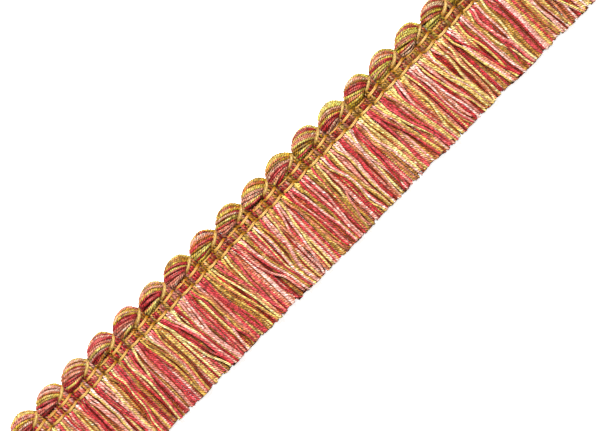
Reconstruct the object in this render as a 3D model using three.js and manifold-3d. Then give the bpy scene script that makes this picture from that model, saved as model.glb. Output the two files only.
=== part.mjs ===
// A cut length of brush fringe with a scalloped loop heading, lying face up.
// Millimetres. +X runs along the trim, +Y points to the loops, +Z is up, off the surface it lies on.
// The origin is the middle of the space the trim fills, on that surface.
//
// The weft is made of bundles of yarn. Each bundle comes up out of the skirt as a pick, turns over in a
// fat loop and goes down again as the pick beside it. Three rows of thin warp thread bind the picks. Below
// the rows the bundles are cut and hang free as the brush.
import * as THREE from "three";
import { mergeVertices } from "three/addons/utils/BufferGeometryUtils.js";
import Module from "manifold-3d";

// Driving sizes
const LOOP_COUNT = 21;
const LOOP_PITCH = 13.6;
const TRIM_HEIGHT = 44.6;
const WARP_TAIL = 1.4; // a warp thread runs past the last pick by this much

// Places along Y
const TOP_Y = TRIM_HEIGHT / 2;
const TIP_Y = -TRIM_HEIGHT / 2;
const MIDDLE_ROW_Y = TOP_Y - 8.95;
const LOWER_ROW_Y = MIDDLE_ROW_Y - 3.45;
const PICK_END_Y = LOWER_ROW_Y - 1.3;

// The edge row slopes up over each rising pick, between two places measured from the middle of the loop.
const EDGE_ROW_START = new THREE.Vector2(0, TOP_Y - 7.2);
const EDGE_ROW_END = new THREE.Vector2(6.35, TOP_Y - 4.4);

// A pick and the loop above it
const PICK_SPACING = LOOP_PITCH / 2;
const PICK_HALF_WIDTH = 3.1;
const PICK_THICKNESS = 3.3;
const PICK_SWELL = 0.2; // how much higher a pick is between the rows than under them
const PICK_SQUEEZE = 0.1; // how much narrower and lower it is where it ends
const PINCH_INNER_X = 0.7; // the edge row squeezes the rising pick in between these two
const PINCH_OUTER_X = 5.7;
const PINCH_START = -0.9; // the squeezed stretch of the pick, from below the edge row to above it
const PINCH_END = 0.45;
const LOOP_THICKNESS = 5;
const UNEVEN_LOOP = { size: 0.05, thickness: 0.5, foot: 0.2 }; // the most by which one loop differs
const LOOP_EYE = new THREE.Vector2(-0.1, TOP_Y - 6.6); // what the loop turns around
const EYE_RADIUS = 0.75;
const FOOT_Y = TOP_Y - 8; // the lower end of the loop, in front of the falling pick
const FOOT_INNER_X = 0.7;
const FOOT_OUTER_X = 6.6;
const UNDERPASS = 1.3; // how far a loop's foot lies off the surface, over the edge row

// Warp threads
const THREAD_WIDTH = 0.9;
const THREAD_DEPTH = 0.7;
const EDGE_THREAD_WIDTH = 0.7;
const CLEARANCE = 0.3;

// Strands of the skirt: three-sided, a flat side down
const STRAND_WIDTH = 1.15;
const STRAND_HEIGHT = 1.1;
const STRAND_GAP = STRAND_WIDTH + CLEARANCE;
const ROOT_DEPTH = 0.9; // how far a strand's root reaches into its pick
const KNEE_DROP = 3; // below the pick's end a strand has come down to where it lies
const SKIRT_END_X = (LOOP_COUNT / 2) * LOOP_PITCH;
const UNEVEN_CUT = 1.3;
const UNEVEN_TIP_X = 0.5;
const KNEE_LEVEL = 0.1; // the share of the skirt's depth at which a strand has its knee
const WAVE_DRIFT = 2.2; // how far the waves of a layer have moved on at the tips, in radians

// The loop's turn around its eye, from the rising pick to its foot: how far out it reaches in each
// direction, how high its underside lies, and how far its face lies below the loop's crown.
const LOOP_TURN = [
  { degrees: 30, reach: 6.5, under: 0, sunk: 0.7 },
  { degrees: 52, reach: 6.8, under: 0, sunk: 0.1 },
  { degrees: 74, reach: 6.65, under: 0, sunk: 0 },
  { degrees: 96, reach: 6.6, under: 0.1, sunk: 0 },
  { degrees: 118, reach: 6.7, under: 0.4, sunk: 0 },
  { degrees: 138, reach: 7, under: 0.9, sunk: 0 },
  { degrees: 156, reach: 7.2, under: UNDERPASS, sunk: 0 },
];

// The loop's foot, downwards: how far above FOOT_Y, and how far its face lies below the loop's crown.
const FOOT = [
  { above: 2, sunk: -0.2 },
  { above: 0.5, sunk: 0.3 },
];

// How far each end of a row's thread lies above the row's own Y, on the picks it passes over.
const ROW_CREST_HALF_WIDTH = 2.1;
const ROW_SLOPE = {
  rising: { left: -0.4, right: 0.45 },
  falling: { left: 0, right: 0.15 },
};

// The two layers that the strands lie in: where they sit in a pick, how high, and how far they stray.
const LAYERS = [
  { roots: [-2.4, -0.8, 0.8, 2.4], rootZ: 0.3, z: 0, steps: 2, leanShare: 0.45, wave: 0.3, waveLength: 31 },
  { roots: [-2.05, 0, 2.05], rootZ: 1.6, z: 1.4, steps: 3, leanShare: 1, wave: 0.8, waveLength: 17 },
];

// How the skirt lies along the trim: the lean of its upper strands, in degrees, at places along X.
const LEAN = [
  { x: -143, lean: 0 },
  { x: -109, lean: 1 },
  { x: -90, lean: 0 },
  { x: -79, lean: -8 },
  { x: -70, lean: -3 },
  { x: -62, lean: 9 },
  { x: -55, lean: 3 },
  { x: -48, lean: 11 },
  { x: -33, lean: -1 },
  { x: -24, lean: 10 },
  { x: -15, lean: -3 },
  { x: -9, lean: 9 },
  { x: 3, lean: -7 },
  { x: 17, lean: 7 },
  { x: 30, lean: 2 },
  { x: 45, lean: 0 },
  { x: 58, lean: 12 },
  { x: 73, lean: 1 },
  { x: 83, lean: 8 },
  { x: 109, lean: 1 },
  { x: 143, lean: 0 },
];

// The bundle's section, in halves of its width and depth: flat below, three yarns showing above.
const SECTION = [
  [-0.85, -1],
  [0.85, -1],
  [1, -0.25],
  [0.76, 0.74],
  [0.38, 0.68],
  [0, 1],
  [-0.38, 0.68],
  [-0.76, 0.74],
  [-1, -0.25],
];
const STRAND_SECTION = [
  [-0.5, 0],
  [0.5, 0],
  [0, 1],
];
const THREAD_SECTION = [
  [-0.5, -0.5],
  [0.5, -0.5],
  [0.5, 0.5],
  [-0.5, 0.5],
];

const WEFT_MATERIAL = new THREE.MeshStandardMaterial({ color: 0xc07a5c, roughness: 0.62, metalness: 0 });
const WARP_MATERIAL = new THREE.MeshStandardMaterial({ color: 0xd9a93c, roughness: 0.4, metalness: 0 });

const { degToRad, lerp } = THREE.MathUtils;
const wasm = await Module();
wasm.setup();

// Numbers from 0 to 1 that look random and are the same each time.
function unevenness(seed) {
  let state = seed;
  return () => {
    state = (state * 1664525 + 1013904223) % 4294967296;
    return state / 4294967296;
  };
}

// A closed surface through rings of points. Every ring follows the same section, so its ends are closed
// by the section's own triangles.
function loft(rings, section) {
  const size = section.length;
  const outline = section.map(([u, v]) => new THREE.Vector2(u, v));
  const caps = THREE.ShapeUtils.triangulateShape(outline, []);
  const last = (rings.length - 1) * size;
  const faces = [];
  for (const [a, b, c] of caps) {
    faces.push(a, b, c);
    faces.push(last + a, last + c, last + b);
  }
  for (let r = 0; r + 1 < rings.length; r++) {
    for (let k = 0; k < size; k++) {
      const here = r * size + k;
      const next = r * size + ((k + 1) % size);
      faces.push(here, here + size, next);
      faces.push(next, here + size, next + size);
    }
  }
  const geometry = new THREE.BufferGeometry().setFromPoints(rings.flat());
  geometry.setIndex(faces);
  return geometry;
}

function toSolid(geometry) {
  const merged = mergeVertices(geometry, 1e-4);
  return new wasm.Manifold(
    new wasm.Mesh({
      numProp: 3,
      vertProperties: merged.attributes.position.array,
      triVerts: new Uint32Array(merged.index.array),
    }),
  );
}

function toMesh(solid, name, material) {
  const { numProp, vertProperties, triVerts } = solid.getMesh();
  const geometry = new THREE.BufferGeometry();
  geometry.setAttribute("position", new THREE.BufferAttribute(vertProperties, numProp));
  geometry.setIndex(new THREE.BufferAttribute(triVerts, 1));
  geometry.computeVertexNormals();
  const mesh = new THREE.Mesh(geometry, material);
  mesh.name = name;
  return mesh;
}

// The lean in degrees at a place along the trim, between the rows of the table.
function leanAt(x) {
  const after = LEAN.findIndex((row) => row.x >= x);
  if (after <= 0) return LEAN.at(after).lean;
  const [from, to] = [LEAN[after - 1], LEAN[after]];
  return lerp(from.lean, to.lean, (x - from.x) / (to.x - from.x));
}

// Moves places along a line apart until each is at least a gap from the next, all within the trim's ends.
function keepApart(places, gap, end) {
  const forward = [...places];
  const backward = [...places];
  const last = places.length - 1;
  const pushUp = (line) => line.forEach((x, i) => (line[i] = Math.max(x, i ? line[i - 1] + gap : -end)));
  const pushDown = (line) => {
    for (let i = last; i >= 0; i--) line[i] = Math.min(line[i], i < last ? line[i + 1] - gap : end);
  };
  pushUp(forward);
  pushDown(forward);
  pushDown(backward);
  pushUp(backward);
  return forward.map((x, i) => (x + backward[i]) / 2);
}

// One ring of a bundle: a section between two points of its width and two heights.
function bundleRing(inner, outer, low, high) {
  const middle = inner.clone().add(outer).multiplyScalar(0.5);
  const half = outer.clone().sub(inner).multiplyScalar(0.5);
  const centreZ = (low + high) / 2;
  const halfZ = (high - low) / 2;
  return SECTION.map(
    ([u, v]) => new THREE.Vector3(middle.x + half.x * u, middle.y + half.y * u, centreZ + halfZ * v),
  );
}

// A ring straight across a pick. side is +1 for the rising pick at the right and -1 for the falling one.
function pickRing(centreX, side, y, halfWidth, high) {
  const x = centreX + (side * PICK_SPACING) / 2;
  const inner = new THREE.Vector2(x - side * halfWidth, y);
  const outer = new THREE.Vector2(x + side * halfWidth, y);
  return bundleRing(inner, outer, 0, high);
}

function pickEnd(centreX, side) {
  return pickRing(centreX, side, PICK_END_Y, PICK_HALF_WIDTH - PICK_SQUEEZE, PICK_THICKNESS - PICK_SQUEEZE);
}

// The ring between the two rows that cross every pick.
function pickMiddle(centreX, side) {
  const y = (LOWER_ROW_Y + MIDDLE_ROW_Y) / 2;
  return pickRing(centreX, side, y, PICK_HALF_WIDTH, PICK_THICKNESS + PICK_SWELL);
}

// The edge row's Y at a place measured from the middle of the loop.
function edgeRowY(x) {
  const along = (x - EDGE_ROW_START.x) / (EDGE_ROW_END.x - EDGE_ROW_START.x);
  return lerp(EDGE_ROW_START.y, EDGE_ROW_END.y, along);
}

// A ring across the rising pick, along the slope of the edge row and a little above or below it.
function slopeRing(centreX, above) {
  const [inner, outer] = [PINCH_INNER_X, PINCH_OUTER_X].map(
    (x) => new THREE.Vector2(centreX + x, edgeRowY(x) + above),
  );
  return bundleRing(inner, outer, 0, PICK_THICKNESS);
}

// A ring across the loop, on a ray from the loop's eye.
function loopRing(centreX, { degrees, reach, under, sunk }, size, top) {
  const ray = new THREE.Vector2(Math.cos(degToRad(degrees)), Math.sin(degToRad(degrees)));
  const eye = new THREE.Vector2(centreX + LOOP_EYE.x, LOOP_EYE.y);
  const inner = eye.clone().addScaledVector(ray, EYE_RADIUS);
  return bundleRing(inner, eye.addScaledVector(ray, reach * size), under, top - sunk);
}

// A ring across the loop's foot.
function footRing(centreX, y, low, high) {
  const inner = new THREE.Vector2(centreX - FOOT_INNER_X, y);
  return bundleRing(inner, new THREE.Vector2(centreX - FOOT_OUTER_X, y), low, high);
}

// The bundle from the end of the rising pick, over the loop, to the end of the falling pick. The loop leans
// forward as it turns, and its foot lies in front of the falling pick, over the edge row's thread.
function bundle(centreX, uneven) {
  const size = 1 - UNEVEN_LOOP.size * uneven();
  const top = LOOP_THICKNESS - UNEVEN_LOOP.thickness * uneven();
  const footY = FOOT_Y + UNEVEN_LOOP.foot * uneven();
  const rings = [
    pickEnd(centreX, 1),
    pickMiddle(centreX, 1),
    slopeRing(centreX, PINCH_START),
    slopeRing(centreX, PINCH_END),
    ...LOOP_TURN.map((place) => loopRing(centreX, place, size, top)),
    ...FOOT.map(({ above, sunk }) => footRing(centreX, footY + above, UNDERPASS, top - sunk)),
    footRing(centreX, footY, 0, PICK_THICKNESS),
    pickMiddle(centreX, -1),
    pickEnd(centreX, -1),
  ];
  return toSolid(loft(rings, SECTION));
}

// Every strand of one layer, over the whole trim, as its places along X at each level down the skirt.
// All the strands of a layer are laid out together, so that each keeps clear of the next.
function layOut(layer, uneven) {
  const strands = [];
  for (let pick = 0; pick < 2 * LOOP_COUNT; pick++) {
    const pickX = (pick - LOOP_COUNT + 0.5) * PICK_SPACING;
    for (const root of layer.roots) {
      strands.push({ pick, root: pickX + root, tipY: TIP_Y + UNEVEN_CUT * uneven() ** 2, xs: [] });
    }
  }
  const levels = [0, KNEE_LEVEL];
  for (let step = 1; step <= layer.steps; step++) levels.push(lerp(KNEE_LEVEL, 1, step / layer.steps));
  const drop = PICK_END_Y - TIP_Y;
  for (const level of levels) {
    const wanted = strands.map(({ root }) => {
      const lean = Math.tan(degToRad(leanAt(root))) * layer.leanShare;
      const turn = (2 * Math.PI * root) / layer.waveLength + WAVE_DRIFT * level;
      const stray = UNEVEN_TIP_X * (uneven() - 0.5);
      return root + level * (lean * drop + layer.wave * Math.sin(turn) + stray);
    });
    const placed = keepApart(wanted, STRAND_GAP, SKIRT_END_X);
    strands.forEach((strand, i) => strand.xs.push(placed[i]));
  }
  return strands.map((strand) => ({ ...strand, levels, layer }));
}

// One strand, from inside its pick to its cut tip.
function strandSolid({ xs, tipY, levels, layer }) {
  const kneeY = PICK_END_Y - KNEE_DROP;
  const rings = xs.map((x, i) => {
    const past = (levels[i] - KNEE_LEVEL) / (1 - KNEE_LEVEL);
    const y = i === 0 ? PICK_END_Y + ROOT_DEPTH : lerp(kneeY, tipY, past);
    const z = i === 0 ? layer.rootZ : layer.z;
    return STRAND_SECTION.map(([u, v]) => new THREE.Vector3(x - STRAND_WIDTH * u, y, z + STRAND_HEIGHT * v));
  });
  return toSolid(loft(rings, STRAND_SECTION));
}

// A flat thread along a path of X, Y and Z places. Its corners are mitred in the XZ plane.
function thread(path, width, depth) {
  const direction = (from, to) => new THREE.Vector2(to.x - from.x, to.z - from.z).normalize();
  const rings = path.map((point, i) => {
    const before = direction(path[Math.max(i - 1, 0)], path[Math.max(i, 1)]);
    const after = i + 1 < path.length ? direction(point, path[i + 1]) : before;
    const along = before.clone().add(after).normalize();
    const stretch = 1 / along.dot(before);
    const up = new THREE.Vector2(-along.y, along.x).multiplyScalar(stretch * depth);
    return THREAD_SECTION.map(
      ([u, v]) => new THREE.Vector3(point.x + up.x * v, point.y - width * u, point.z + up.y * v),
    );
  });
  return toSolid(loft(rings, THREAD_SECTION));
}

// A row of thread that lies over every pick and sinks between them.
function bindingRow(y) {
  const crest = PICK_THICKNESS + PICK_SWELL + CLEARANCE + THREAD_DEPTH / 2;
  const sunk = PICK_THICKNESS - PICK_SWELL;
  const path = [{ x: -SKIRT_END_X - WARP_TAIL, y, z: sunk }];
  for (let pick = 0; pick < 2 * LOOP_COUNT; pick++) {
    const x = (pick - LOOP_COUNT + 0.5) * PICK_SPACING;
    const slope = pick % 2 ? ROW_SLOPE.rising : ROW_SLOPE.falling;
    path.push({ x: x - ROW_CREST_HALF_WIDTH, y: y + slope.left, z: crest });
    path.push({ x: x + ROW_CREST_HALF_WIDTH, y: y + slope.right, z: crest });
    path.push({ x: x + PICK_SPACING / 2, y, z: sunk });
  }
  path.at(-1).x += WARP_TAIL;
  return thread(path, THREAD_WIDTH, THREAD_DEPTH);
}

// The edge row: over each rising pick, down beside it, and along the surface under the next loop's foot.
function edgeRow() {
  const crest = PICK_THICKNESS + CLEARANCE + THREAD_DEPTH / 2;
  const floor = THREAD_DEPTH / 2;
  const path = [{ x: -SKIRT_END_X - WARP_TAIL, y: EDGE_ROW_END.y, z: floor }];
  for (let loop = 0; loop < LOOP_COUNT; loop++) {
    const x = (loop - (LOOP_COUNT - 1) / 2) * LOOP_PITCH;
    path.push({ x: x + EDGE_ROW_START.x, y: EDGE_ROW_START.y, z: floor });
    path.push({ x: x + EDGE_ROW_START.x, y: EDGE_ROW_START.y, z: crest });
    path.push({ x: x + EDGE_ROW_END.x, y: EDGE_ROW_END.y, z: crest });
    path.push({ x: x + EDGE_ROW_END.x, y: EDGE_ROW_END.y, z: floor });
  }
  path.push({ x: SKIRT_END_X + WARP_TAIL, y: EDGE_ROW_END.y, z: floor });
  return thread(path, EDGE_THREAD_WIDTH, THREAD_DEPTH);
}

const trim = new THREE.Group();
const uneven = unevenness(7);
const strands = LAYERS.flatMap((layer) => layOut(layer, uneven));
for (let loop = 0; loop < LOOP_COUNT; loop++) {
  const centreX = (loop - (LOOP_COUNT - 1) / 2) * LOOP_PITCH;
  const own = strands.filter(({ pick }) => Math.floor(pick / 2) === loop);
  const weft = own.reduce((solid, strand) => solid.add(strandSolid(strand)), bundle(centreX, uneven));
  trim.add(toMesh(weft, `weft_${String(loop + 1).padStart(2, "0")}`, WEFT_MATERIAL));
}
trim.add(toMesh(edgeRow(), "warp_edge", WARP_MATERIAL));
trim.add(toMesh(bindingRow(MIDDLE_ROW_Y), "warp_middle", WARP_MATERIAL));
trim.add(toMesh(bindingRow(LOWER_ROW_Y), "warp_lower", WARP_MATERIAL));

export default trim;
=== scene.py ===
"""The looks of a cut length of brush fringe with a looped heading, lying face up on a pale floor.

Each bundle of weft is made as the yarns it is laid up from. A yarn starts at its cut end in the skirt, runs
up through a pick of the heading, over the loop, down through the next pick and out to its other cut end.
Three rows of gold thread bind the picks.

Sizes are in millimetres until a mesh is made, and in metres on the stage. Leans and turns are in degrees.
Left is towards -X, where the places along the trim begin.
"""

import math

import bpy
import numpy as np
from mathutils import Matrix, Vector


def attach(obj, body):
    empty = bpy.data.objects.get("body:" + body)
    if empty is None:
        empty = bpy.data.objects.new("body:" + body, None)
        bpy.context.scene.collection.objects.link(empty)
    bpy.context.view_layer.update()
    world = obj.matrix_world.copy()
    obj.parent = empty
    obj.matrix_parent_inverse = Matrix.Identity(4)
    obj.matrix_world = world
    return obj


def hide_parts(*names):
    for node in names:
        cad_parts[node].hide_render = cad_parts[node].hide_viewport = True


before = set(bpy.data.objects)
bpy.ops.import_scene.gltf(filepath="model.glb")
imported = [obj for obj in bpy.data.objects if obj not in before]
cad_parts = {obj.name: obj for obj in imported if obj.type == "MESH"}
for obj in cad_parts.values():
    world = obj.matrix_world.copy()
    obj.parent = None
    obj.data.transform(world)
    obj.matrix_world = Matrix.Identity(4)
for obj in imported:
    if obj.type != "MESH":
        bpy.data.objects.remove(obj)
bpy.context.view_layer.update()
METRES = 0.001

# The same sizes as the solids
LOOP_COUNT = 21
LOOP_PITCH = 13.6
PICK_COUNT = 2 * LOOP_COUNT
PICK_SPACING = LOOP_PITCH / 2
TIP_Y = -22.3
MIDDLE_ROW_Y = 13.35
LOWER_ROW_Y = 9.9
SKIRT_Y = 9.1  # below this the yarns hang free
END_X = LOOP_COUNT * LOOP_PITCH / 2
WARP_TAIL = 1.4
PICK_REACH = 3.1  # from the middle of a pick to its side

# Yarn
YARN_RADIUS = 0.52
BOUND_RADIUS = 0.53  # where the heading holds it
LAYER_FULLNESS = np.array([1.18, 1.0, 0.9])  # how thick the yarns of each layer are beside these
RADIUS_RANGE = (0.9, 1.08)  # and how thick one yarn is beside another
RADIUS_WANDER = 0.12  # how much its thickness wanders along it
RADIUS_BLUR = 2  # in rings, as PATCH_BLUR is
CUT_FLARE = 1.06  # how much a cut end spreads
YARN_RINGS = 190
YARN_PLIES = 3
PLY_LENGTH = 2.7  # one turn of the twist
PLY_RELIEF = 0.2  # how far plies stand out of a yarn or thread, and the grooves sink into it

# Thread
THREAD_RADIUS = 0.31
THREAD_SPREAD = 0.06  # how thick one thread is beside another
THREAD_PLIES = 3
THREAD_PLY_LENGTH = 1.7
THREAD_RINGS = 840
ROW_SHIFTS = [-0.21, 0.21]  # where the two threads of a row lie beside its middle
EDGE_SHIFTS = [-0.294, 0, 0.294]  # and the three of the edge row
ROW_CREST = 2.85  # the height of a row on the middle of a pick
MIDDLE_ROW_CREST = 2.6  # and of the middle row on a falling pick

# Where each yarn of a bundle sits in both its picks: its offset from the middle of the pick, from the left,
# and its layer, from 0, the lowest, to 2, on top
SLOTS = [
    {"x": -2.95, "layer": 0},
    {"x": -2.60, "layer": 2},
    {"x": -2.20, "layer": 1},
    {"x": -1.97, "layer": 0},
    {"x": -1.55, "layer": 2},
    {"x": -0.98, "layer": 0},
    {"x": -0.50, "layer": 2},
    {"x": 0.00, "layer": 1},
    {"x": 0.00, "layer": 0},
    {"x": 0.50, "layer": 2},
    {"x": 0.98, "layer": 0},
    {"x": 1.55, "layer": 2},
    {"x": 1.97, "layer": 0},
    {"x": 2.20, "layer": 1},
    {"x": 2.60, "layer": 2},
    {"x": 2.95, "layer": 0},
]
TOP_LAYER = 2
LAYER_Z = [0.72, 1.75, 2.8]
LAYER_SCATTER = np.array([0.04, 0.1, 0.13])  # how far the yarns of each layer stray from their offsets
SLOT_LIMIT = 3.0  # the largest offset that a stray yarn has
PICK_CROWN = 0.1  # how far the middle of a pick stands above LAYER_Z, and how fast it falls to the sides
CROWN_FALL = 0.03
SLOT_X = np.array([slot["x"] for slot in SLOTS])
SLOT_LAYER = np.array([slot["layer"] for slot in SLOTS])
YARNS = len(SLOTS)

# How the skirt lies: lean in degrees at places along the trim
LEAN = [
    {"x": x, "lean": lean}
    for x, lean in [
        (-144, 0), (-116, 0), (-97, 1), (-86, -6), (-76, -5), (-69, 8), (-63, 2), (-57, 12), (-51, 3),
        (-40, 0), (-33, 12), (-27, 10), (-24, -2), (-19, 10), (-12, 6), (-7, -5), (-2, -6), (4.5, 0),
        (10, 7), (16.5, 4), (23, 0), (29, 6), (38, 0), (46, 4), (51, 14), (57, 8), (64.5, 0), (72, 7),
        (78, 8), (87, 5), (102, 0), (144, 0),
    ]
]
LOOSENESS = [0.0, 0.05, 1.0]  # of each layer of the skirt
LOOSE_LEAN_REACH = 1.2  # how far around it a loose yarn takes its lean from the table
TIGHT_LEAN_REACH = 12  # and a tight one
TIGHT_LEAN_SHARE = 0.35  # of which it takes this share
# A yarn's own lean and waves, where it lies tight and how much more where it is loose
OWN_LEAN = {"tight": 0.15, "more": 1.4}
OWN_WAVE = {"tight": 0.04, "more": 0.35}
ODD_YARNS = 0.12  # how many loose yarns lean far more, and how much
ODD_YARN_LEAN = (4, 12)
SPREAD_DROP = 4  # how far below the heading the yarns have spread to their even places
WAVE_DROP = 6  # and how far below it their waves are at their full size
END_SPREAD = 0.3  # how far they spread past the ends of the heading

# A few yarns that hang together are a lock
LOCK_WIDTH = 2.2
LOCK_LEAN = 4.5
ODD_LOCKS = 0.2  # how many locks lean far more, and how much
ODD_LOCK_LEAN = (4, 9)
LOCK_WAVES = [{"length": 46, "size": 0.8}, {"length": 23, "size": 0.45}, {"length": 11, "size": 0.14}]
WAVE_STRETCH = (0.8, 1.25)
WAVE_SPREAD = 0.9
GATHERED = 0.46  # how near two yarns come that have met
STRAYS = 0.12  # how many of them still cross others
GATHER_BLUR = 1.5

# How the yarns of the skirt pile up, on a grid of rows down the skirt and cells along the trim
ROW_STEP = 0.5
CELL = 0.2
SKIRT_YS = np.arange(SKIRT_Y, TIP_Y - ROW_STEP, -ROW_STEP)
PILE_MARGIN = 6
PILE_XS = np.arange(-END_X - PILE_MARGIN, END_X + PILE_MARGIN, CELL)
PILE_DEPTH = 3.6  # they never reach this high
LEVEL_SCATTER = 0.25  # they are laid from the lowest up, give or take this height
TOUCH = 0.62  # of a yarn's radius, where it presses on another
BRIDGE_ROWS = 4  # how far a yarn is held up past what it rests on, and how much it sinks in each row
BRIDGE_SINK = 0.1
SAG_BLUR = 2.5
ROOT_DROP = 5  # how far below the heading they have come down from their height in it
NEAR = 0.7  # yarns this near shade each other
SURFACE_BLUR_X = 1.5
SURFACE_BLUR_Y = 2

# How far the cut ends lie short of the longest
LONGEST = 0.3  # how far that reaches past TIP_Y
LOCK_SHORT = 0.6  # how far a lock is cut short, and a yarn beside its lock
YARN_SHORT = 0.25
SHORT_YARNS = 0.08  # how many of the top layer are cut well short, and how much
SHORT_CUT = (0.6, 2.5)

# How far a row lies above its usual Y on a pick: its level in the middle, its slope and its curve, by a
# place u that runs from -1 at the left side of the pick to 1 at the right
RISING_ROW = {"level": -0.2, "slope": 0.45, "curve": 0.3}
FALLING_ROW = {"level": -0.1, "slope": 0.08, "curve": 0.4}
# The edge row's Y on a rising pick in the same way, by the X from the middle of the loop less this one
EDGE_ROW = {"x": 0.5, "level": 14.85, "slope": 0.4, "curve": 0.025}

# How wide and deep a bundle is beside its usual size: under the lower and middle rows, under the edge row
# and between two rows
SQUEEZED = {"wide": 0.96, "deep": 0.64}
SQUEEZED_TOP = {"wide": 0.96, "deep": 0.70}
SWOLLEN = {"wide": 1.02, "deep": 1.06}

# The outline of a loop seen on its face, from the middle of the loop's two picks, and the point it swells
# around
LOOP_HEART = np.array([-1.05, 17.9])
LOOP_OUTLINE = [
    {"x": 5.5, "y": 17.7},
    {"x": 5.6, "y": 18.7},
    {"x": 5.0, "y": 20.0},
    {"x": 3.9, "y": 21.3},
    {"x": 2.3, "y": 22.2},
    {"x": 0.4, "y": 22.5},
    {"x": -1.4, "y": 22.35},
    {"x": -3.1, "y": 21.85},
    {"x": -4.8, "y": 21.0},
    {"x": -6.3, "y": 19.8},
    {"x": -7.35, "y": 18.6},
    {"x": -7.75, "y": 17.3},
    {"x": -7.7, "y": 15.8},
    {"x": -7.1, "y": 14.4},
    {"x": -6.0, "y": 13.6},
    {"x": -4.3, "y": 13.35},
    {"x": -2.6, "y": 13.35},
    {"x": -0.9, "y": 13.7},
    {"x": 0.7, "y": 14.7},
    {"x": 2.1, "y": 15.4},
    {"x": 3.7, "y": 16.2},
    {"x": 4.9, "y": 16.9},
]
LOOP_MIDDLE_Z = 2.6
LOOP_FACE = 2.6  # how far the loop's face and back stand from its middle
LOOP_BACK = 2.05
START_SLACK = 1.3  # how far past the outline a yarn starts and ends
BACK_BOW = 4.8  # how far the outermost yarn's way behind the loop bows along its rim
LOOP_SUNK = [0.65, 0.3, 0.0]  # how deep the yarns of each layer lie inside it
LOOP_HOLD = 0.55  # how tightly it holds its yarns, where a pick holds them by 1
DRAWN_IN = 0.95  # the share of their offsets at which the yarns rise into it
LOOP_START = {"left": 0.15, "fan": 0.3, "up": 0.55}  # how far from the edge row their run over it begins
LOOP_END_Y = 14.7  # where a yarn leaves it, and where the falling pick begins
FALLING_TOP_Y = 14.6

# How each yarn runs over a loop, from the one nearest the skirt, 0, to the outermost, 1: the direction in
# which it goes behind the loop, and how far its run bows upwards
RUNS = [
    {"turn": 0.00, "fold": 216, "bow": -0.45},
    {"turn": 0.25, "fold": 190, "bow": 0.15},
    {"turn": 0.50, "fold": 169, "bow": 0.9},
    {"turn": 0.75, "fold": 153, "bow": 1.75},
    {"turn": 1.00, "fold": 134, "bow": 2.7},
]
FOLD_SCATTER = 4
BOW_SCATTER = 0.2
# How far one loop strays from the usual one: its heart to the side and down from LOOP_RISE above the usual,
# its size, and the turns and bows of its yarns
LOOP_SCATTER = {"side": 0.15, "down": 0.25, "size": 0.025, "twist": 7, "bow": 0.2}
LOOP_RISE = 0.25
FACE_POINTS = 13
BACK_POINTS = 9

# Yarn colours (sRGB), as they look where the yarn is free and where the heading binds it, the bound ones
# deeper and warmer with painted shade, and how often each comes at the left end and at the right end
COLOURS = {
    "deep_rose": {"free": (0.65, 0.12, 0.16), "bound": (0.62, 0.07, 0.11), "left": 2.0, "right": 1.6},
    "rose": {"free": (0.83, 0.30, 0.33), "bound": (0.81, 0.23, 0.27), "left": 2.4, "right": 1.7},
    "salmon": {"free": (0.90, 0.52, 0.46), "bound": (0.89, 0.44, 0.37), "left": 2.4, "right": 1.7},
    "pale_pink": {"free": (0.98, 0.74, 0.70), "bound": (0.98, 0.69, 0.62), "left": 2.2, "right": 1.7},
    "straw": {"free": (0.94, 0.83, 0.54), "bound": (0.93, 0.79, 0.42), "left": 2.0, "right": 2.4},
    "gold": {"free": (0.83, 0.65, 0.30), "bound": (0.81, 0.60, 0.13), "left": 1.2, "right": 2.2},
    "olive": {"free": (0.64, 0.50, 0.20), "bound": (0.61, 0.43, 0.06), "left": 0.9, "right": 1.7},
    "tan": {"free": (0.76, 0.46, 0.30), "bound": (0.74, 0.40, 0.14), "left": 1.8, "right": 1.5},
}
# What the plies of each are mixed with
MARLS = {
    "deep_rose": "rose",
    "rose": "deep_rose",
    "salmon": "pale_pink",
    "pale_pink": "salmon",
    "straw": "gold",
    "gold": "straw",
    "olive": "tan",
    "tan": "salmon",
}
MARLED_PLIES = 0.3  # how many plies are marled, and how far, and how far the others are
MARL = 0.6
FAINT_MARL = (0, 0.2)
SAME_AGAIN = 0.5  # how often two neighbours are of one colour
OUTER_NAMES = ["straw", "gold", "gold", "straw", "salmon"]  # the outermost yarn is one of these
YARN_GAIN = (0.9, 1.08)  # how bright one yarn is beside another, and the plies and grooves of each
# Painted highlight on the crowns of the plies and painted shade in their grooves, each at random within its
# range
CROWN_TONE_AND_LIGHT = (0.9, 1.12)
GROOVE_TONE_AND_SHADE = (0.8, 0.95)
PATCHES = 0.25  # how far the colour varies along a yarn, slowly, from ring to ring and around it
PATCH_BLUR = 4
BEADS = 0.3
SPECKLE = 0.36
DARKEST = 0.004
BRIGHTEST = 0.98
# Painted highlight and painted shade: the thread's gold is painted paler where it shines and deeper where it
# doesn't
WARP_GOLD = (0.79, 0.64, 0.36)  # the thread where it shines, and where it doesn't, sRGB too
WARP_SHADE = (0.62, 0.40, 0.01)

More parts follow.
